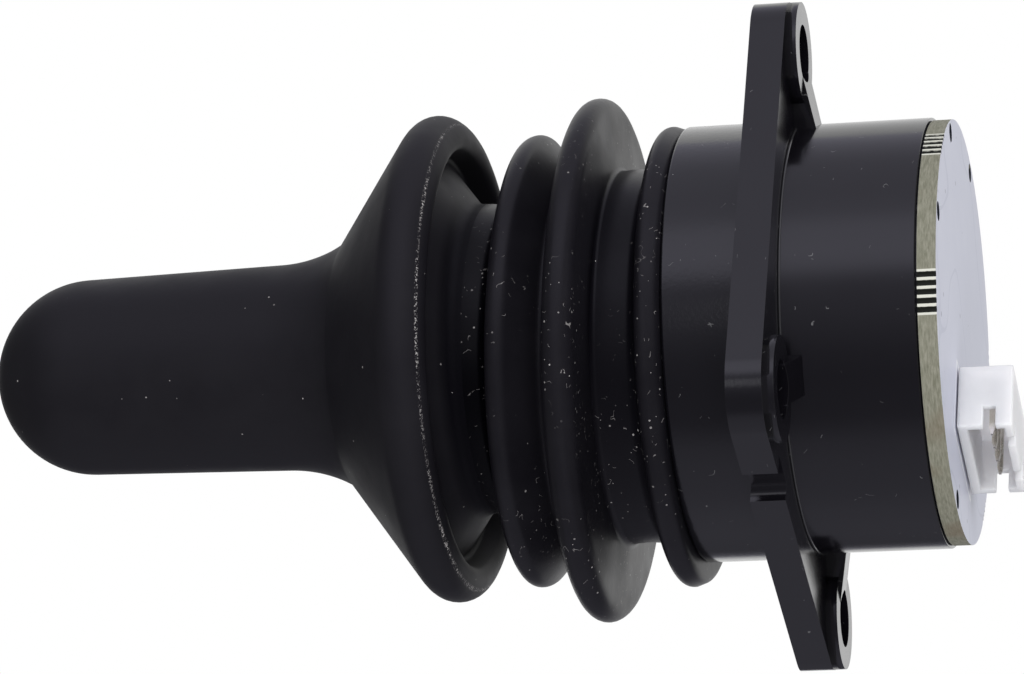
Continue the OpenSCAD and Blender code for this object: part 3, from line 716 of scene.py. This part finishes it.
# ---------------------------------------------------------------------------
# Connector on the board
# ---------------------------------------------------------------------------
def make_connector():
    left, top, bottom = HEADER_X - HEADER_W / 2, BOARD_BOTTOM, BOARD_BOTTOM - HEADER_H
    back = HEADER_Y + HEADER_D
    bm = bmesh.new()
    block(bm, (left, HEADER_Y, bottom), (left + HEADER_W, back, top - 0.14))
    body = place("connector_moulding", bm, HEADER, 40)
    feet = bmesh.new()
    for x in (left + 0.9, left + HEADER_W - 1.9):
        block(feet, (x, HEADER_Y + 1.2, top - 0.3), (x + 1.0, back - 0.8, top))
    work(body, [place("foot tool", feet, HEADER)], "UNION")
    hollow = bmesh.new()
    block(hollow, (left + HEADER_WALL, HEADER_Y - 1, bottom + HEADER_WALL),
          (left + HEADER_W - HEADER_WALL, back - 1.1, top - HEADER_FLOOR))
    slots = bmesh.new()
    block(slots, (left - 1, HEADER_Y - 1, PIN_Z - 0.53), (left + HEADER_W + 1, HEADER_Y + 2, PIN_Z + 0.53))
    keys = bmesh.new()
    for side in (-1, 1):
        x = HEADER_X + side * 2.6
        block(keys, (x - 0.6, HEADER_Y - 1, bottom - 1), (x + 0.6, HEADER_Y + 1.6,
                                                         bottom + HEADER_WALL + 0.01))
    work(body, [place("hollow tool", hollow, HEADER), place("slot tool", slots, HEADER),
                place("key tool", keys, HEADER)], "DIFFERENCE")
    soften(body, 0.16, HEADER, 3)
    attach(body, "housing")
    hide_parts("connector_housing")


def make_pins():
    """Bent square pins with tapered tips."""
    tip, tail = HEADER_Y + 0.55, HEADER_Y + HEADER_D + 0.6
    half = PIN_W / 2
    bm = bmesh.new()
    for k in (-1.5, -0.5, 0.5, 1.5):
        x = HEADER_X + k * PIN_PITCH
        lying = block(bm, (x - half, tip + 0.5, PIN_Z - half), (x + half, tail + half, PIN_Z + half))
        end = [f for f in bm.faces if all(v in lying for v in f.verts)
               and f.calc_center_median().y < tip + 0.51]
        cone = bmesh.ops.extrude_face_region(bm, geom=end)
        drawn = [v for v in cone["geom"] if isinstance(v, bmesh.types.BMVert)]
        bmesh.ops.translate(bm, vec=(0, -0.5, 0), verts=drawn)
        for v in drawn:
            v.co.x = x + (v.co.x - x) * 0.45
            v.co.z = PIN_Z + (v.co.z - PIN_Z) * 0.45
        bmesh.ops.delete(bm, geom=end, context="FACES_ONLY")
        block(bm, (x - half + 0.01, tail - half + 0.01, PIN_Z), (x + half - 0.01, tail + half - 0.01,
                                                               BOARD_TOP + 0.8))
    pins = place("connector_pin_set", bm, TIN)
    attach(pins, "housing")
    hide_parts("connector_pins")


make_body_shell()
make_flange()
make_connector()
make_pins()
make_pegs()

# ---------------------------------------------------------------------------
# Finishes on the solids that are shown as they are
# ---------------------------------------------------------------------------
FINISHES = {
    "gimbal_carrier": ACETAL, "gate_plate": STEEL, "frame_screws": STEEL,
    "outer_pivot_pins": STEEL, "gimbal_ring": ZINC, "ring_bushes": BRONZE,
    "inner_pivot_pins": STEEL, "shaft_hub": ACETAL, "hub_bushes": BRONZE, "hub_pin": STEEL,
    "shaft": STEEL, "spring_collar": ACETAL, "collar_clip": BLACK_STEEL,
    "centring_spring": STEEL, "knob_core": CORE, "knob_screw": BLACK_STEEL,
    "magnet_holder": ACETAL, "magnet": NICKEL, "sensor_board": LAMINATE,
    "hall_sensors": CHIP, "board_components": CERAMIC,
}
for node, material in FINISHES.items():
    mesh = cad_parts[node].data
    mesh.materials.clear()
    mesh.materials.append(material)


# ---------------------------------------------------------------------------
# Floor, light and camera
# ---------------------------------------------------------------------------
def make_floor():
    bm = bmesh.new()
    bmesh.ops.create_grid(bm, x_segments=1, y_segments=1, size=900.0)
    bmesh.ops.translate(bm, vec=(0, 0, -21.6), verts=bm.verts)
    m, n, l, s = new_material("pale floor")
    at = object_coords(n)
    l.new(mix(n, l, noise(n, l, at, 30.0), (0.93, 0.93, 0.93), (0.95, 0.95, 0.95)),
          s.inputs["Base Color"])
    s.inputs["Roughness"].default_value = 0.9
    s.inputs["Specular IOR Level"].default_value = 0.0
    clear = n.new("ShaderNodeBsdfTransparent")
    back = n.new("ShaderNodeNewGeometry").outputs["Backfacing"]
    blend = n.new("ShaderNodeMixShader")
    l.new(back, blend.inputs[0])
    l.new(s.outputs[0], blend.inputs[1])
    l.new(clear.outputs[0], blend.inputs[2])
    l.new(blend.outputs[0], n["Material Output"].inputs[0])
    floor = place("floor", bm, m)
    floor.data.flip_normals() if floor.data.polygons[0].normal.z < 0 else None
    floor.visible_diffuse = False
    floor.visible_glossy = False
    floor.visible_transmission = False
    floor.visible_shadow = False


def make_world():
    world = bpy.data.worlds.new("studio")
    bpy.context.scene.world = world
    world.use_nodes = True
    n, l = world.node_tree.nodes, world.node_tree.links
    n.clear()
    out = n.new("ShaderNodeOutputWorld")
    plain = n.new("ShaderNodeBackground")
    plain.inputs[0].default_value = (1.0, 1.0, 1.0, 1.0)
    plain.inputs[1].default_value = 0.4
    seen = n.new("ShaderNodeBackground")
    seen.inputs[0].default_value = (1.0, 1.0, 1.0, 1.0)
    seen.inputs[1].default_value = 1.0
    path = n.new("ShaderNodeLightPath")
    any_ray = maths(n, l, "MAXIMUM", path.outputs["Is Camera Ray"],
                    maths(n, l, "MAXIMUM", path.outputs["Is Glossy Ray"],
                          path.outputs["Is Transmission Ray"]))
    both = n.new("ShaderNodeMixShader")
    l.new(any_ray, both.inputs[0])
    l.new(plain.outputs[0], both.inputs[1])
    l.new(seen.outputs[0], both.inputs[2])
    l.new(both.outputs[0], out.inputs[0])


# How bright the studio looks from the object, by compass direction in degrees
AROUND = [(-180, 0.1), (-168, 0.17), (-152, 0.28), (-138, 0.36), (-105, 0.4), (-92, 0.36),
          (-84, 0.25), (-77, 0.17), (-56, 0.15), (-44, 0.18), (-30, 0.28), (-10, 0.42),
          (-5, 0.55), (3, 1.15), (10, 1.25), (24, 1.15), (34, 0.8), (46, 0.68), (70, 0.58),
          (90, 0.66), (110, 0.85), (160, 0.9), (172, 0.2), (180, 0.1)]


def make_surround():
    """Walls of the studio, which only reflections see; the white background stays open."""
    bm = bmesh.new()
    bmesh.ops.create_cone(bm, cap_ends=True, segments=96, radius1=650.0, radius2=650.0,
                          depth=1000.0)
    bmesh.ops.translate(bm, vec=(0, 0, 60.0), verts=bm.verts)
    gone = [f for f in bm.faces if abs(f.normal.z) < 0.5 and 96.0 <
            degrees(atan2(f.calc_center_median().y, f.calc_center_median().x)) < 168.0]
    bmesh.ops.delete(bm, geom=gone, context="FACES")
    bmesh.ops.scale(bm, vec=(MM, MM, MM), verts=bm.verts)
    mesh = bpy.data.meshes.new("studio surround")
    bm.to_mesh(mesh)
    bm.free()
    m = bpy.data.materials.new("studio surround")
    m.use_nodes = True
    m.cycles.emission_sampling = "NONE"
    n, l = m.node_tree.nodes, m.node_tree.links
    n.clear()
    out = n.new("ShaderNodeOutputMaterial")
    glow = n.new("ShaderNodeEmission")
    at = n.new("ShaderNodeSeparateXYZ")
    l.new(object_coords(n), at.inputs[0])
    turn_at = maths(n, l, "ARCTAN2", at.outputs["Y"], at.outputs["X"])
    compass = n.new("ShaderNodeValToRGB")
    compass.color_ramp.interpolation = "LINEAR"
    stops = compass.color_ramp.elements
    for i, (angle, level) in enumerate(AROUND):
        where = (angle + 180.0) / 360.0
        stop = stops[0] if i == 0 else (stops[-1] if i == len(AROUND) - 1 else stops.new(where))
        stop.position = where
        stop.color = (level / 1.34, level / 1.36, level / 1.14, 1.0)
    l.new(spread(n, l, turn_at, -pi, pi, 0.0, 1.0), compass.inputs[0])
    # narrow strip light above the camera, which ends just under the level of the flange
    across = maths(n, l, "MULTIPLY",
                   spread(n, l, turn_at, radians(-30), radians(-23), 0.0, 1.0),
                   spread(n, l, turn_at, radians(-14), radians(-11), 1.0, 0.0))
    tall = maths(n, l, "MULTIPLY", spread(n, l, at.outputs["Z"], 0.06, 0.115, 0.0, 1.0),
                 spread(n, l, at.outputs["Z"], 0.16, 0.24, 1.0, 0.0))
    strip = maths(n, l, "MULTIPLY", across, tall)
    caps = spread(n, l, maths(n, l, "ABSOLUTE", maths(n, l, "SUBTRACT", at.outputs["Z"], 0.06)),
                  0.49, 0.499, 0.0, 1.0)
    walls = mix(n, l, strip, compass.outputs[0], (1.0, 1.0, 1.1))
    l.new(mix(n, l, caps, walls, (0.1, 0.1, 0.105)), glow.inputs["Color"])
    glow.inputs["Strength"].default_value = 1.3
    l.new(glow.outputs[0], out.inputs[0])
    mesh.materials.append(m)
    surround = bpy.data.objects.new("studio surround", mesh)
    bpy.context.scene.collection.objects.link(surround)
    surround.visible_camera = False
    surround.visible_diffuse = False
    surround.visible_transmission = False
    surround.visible_shadow = False
    surround.visible_volume_scatter = False


def softbox(name, towards, distance, width, height, power, roll=0.0):
    """A soft lamp that looks at the middle of the object from a direction."""
    data = bpy.data.lights.new(name, "AREA")
    data.shape = "RECTANGLE"
    data.size, data.size_y = width * MM, height * MM
    data.energy = power
    lamp = bpy.data.objects.new(name, data)
    middle = Vector((0, 0, 25.0))
    d = Vector(towards).normalized()
    turn_to = d.to_track_quat("Z", "Y").to_matrix().to_4x4()
    lamp.matrix_world = (Matrix.Translation((middle + d * distance) * MM) @ turn_to
                         @ Matrix.Rotation(radians(roll), 4, "Z"))
    bpy.context.scene.collection.objects.link(lamp)
    lamp.visible_glossy = False


def make_camera():
    data = bpy.data.cameras.new("camera")
    data.sensor_fit = "HORIZONTAL"
    data.sensor_width = 36.0
    data.lens = 160.68
    data.clip_start, data.clip_end = 0.01, 20.0
    camera = bpy.data.objects.new("camera", data)
    right = Vector((-0.201631, 0.087391, -0.975555))
    up = Vector((0.581017, 0.812516, -0.047301))
    back = Vector((0.78852, -0.576351, -0.214604))
    turn_to = Matrix((right, up, back)).transposed().to_4x4()
    camera.matrix_world = Matrix.Translation(Vector((319.842, -231.959, -62.954)) * MM) @ turn_to
    bpy.context.scene.collection.objects.link(camera)
    bpy.context.scene.camera = camera


make_floor()
make_world()
make_surround()
UP, NEAR, AXIS = Vector((0.581, 0.8125, -0.047)), Vector((0.7885, -0.5764, -0.2146)), Vector((0, 0, 1))
softbox("strip by the camera", NEAR * cos(radians(16)) + UP * sin(radians(16)), 430, 380, 260, 0.6)
softbox("overhead softbox", NEAR * 0.5 + UP * 0.87, 430, 420, 240, 0.5)
softbox("board side softbox", -AXIS * 0.85 + NEAR * 0.3 + UP * 0.45, 430, 260, 260, 0.8)
softbox("low fill softbox", NEAR * 0.75 - UP * 0.66 - AXIS * 0.1, 430, 300, 200, 0.85)
make_camera()
bpy.context.scene.view_settings.view_transform = "Standard"
